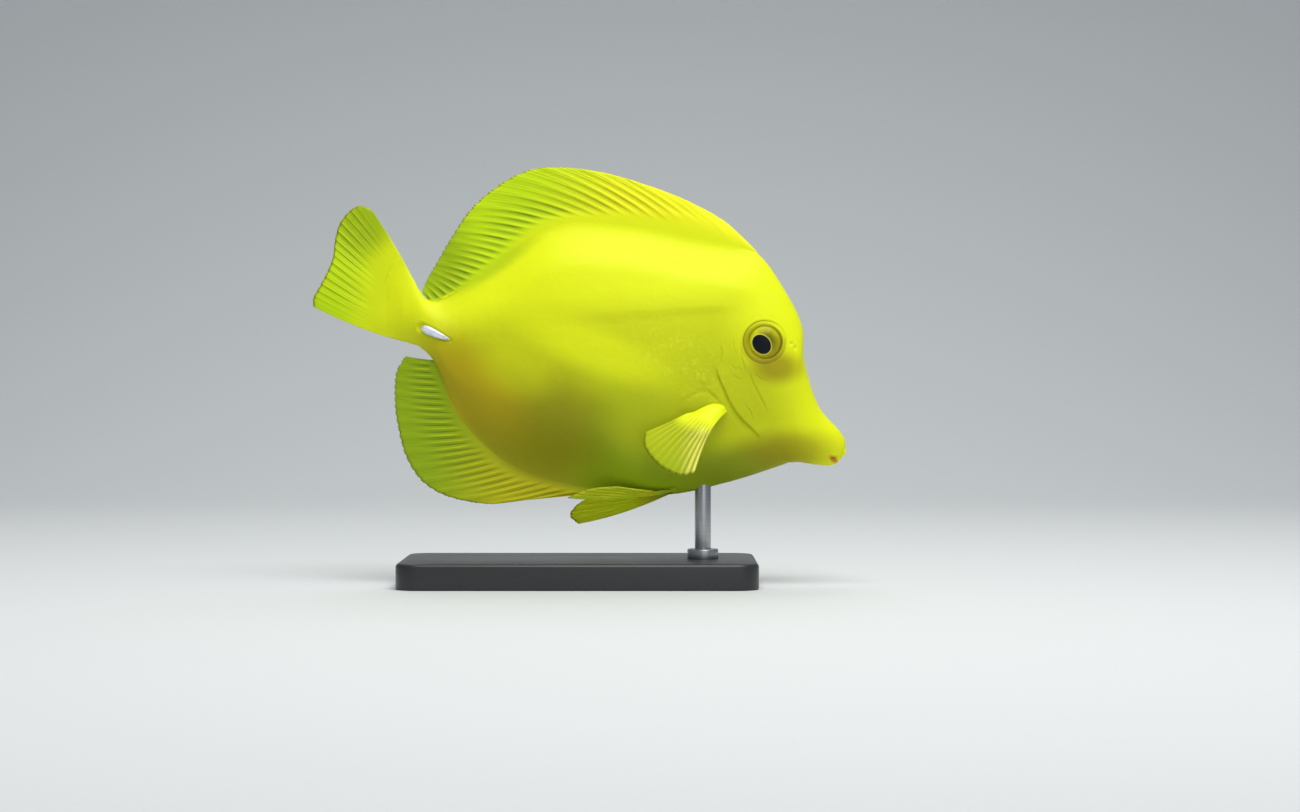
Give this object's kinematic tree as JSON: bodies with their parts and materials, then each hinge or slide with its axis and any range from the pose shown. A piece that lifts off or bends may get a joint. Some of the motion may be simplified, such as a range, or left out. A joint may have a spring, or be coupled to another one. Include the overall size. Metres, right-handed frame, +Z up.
{
  "type": "yellow tang fish model on a stand",
  "caption": "Life-size still model of a yellow tang, a deep, flat reef fish with raised dorsal and anal fins, held nose down on a rod over a flat base.",
  "frame": {"origin": "centre of the underside of the stand's base", "axes": "+X the way the fish faces, from tail to snout, +Y the fish's left side, +Z up"},
  "size_m": [0.1649, 0.0602, 0.1293],
  "materials": {
    "skin": "satin painted fish skin, yellow with an olive lower flank",
    "fins": "satin, slightly translucent greenish yellow fin membrane",
    "eyes": "clear gloss over a yellow iris and a black pupil",
    "spines": "satin white, as bone",
    "base": "fine satin black acrylic",
    "rod": "brushed"
  },
  "bodies": {
    "root": {"head": "skin", "trunk": "skin", "tail_stem": "skin", "dorsal_fin": "fins", "anal_fin": "fins", "caudal_fin": "fins", "pectoral_fin_right": "fins", "pectoral_fin_left": "fins", "pelvic_fin_right": "fins", "pelvic_fin_left": "fins", "eye_right": "eyes", "eye_left": "eyes", "tail_spine_right": "spines", "tail_spine_left": "spines", "stand_base": "base", "stand_rod": "rod"}
  },
  "joints": []
}
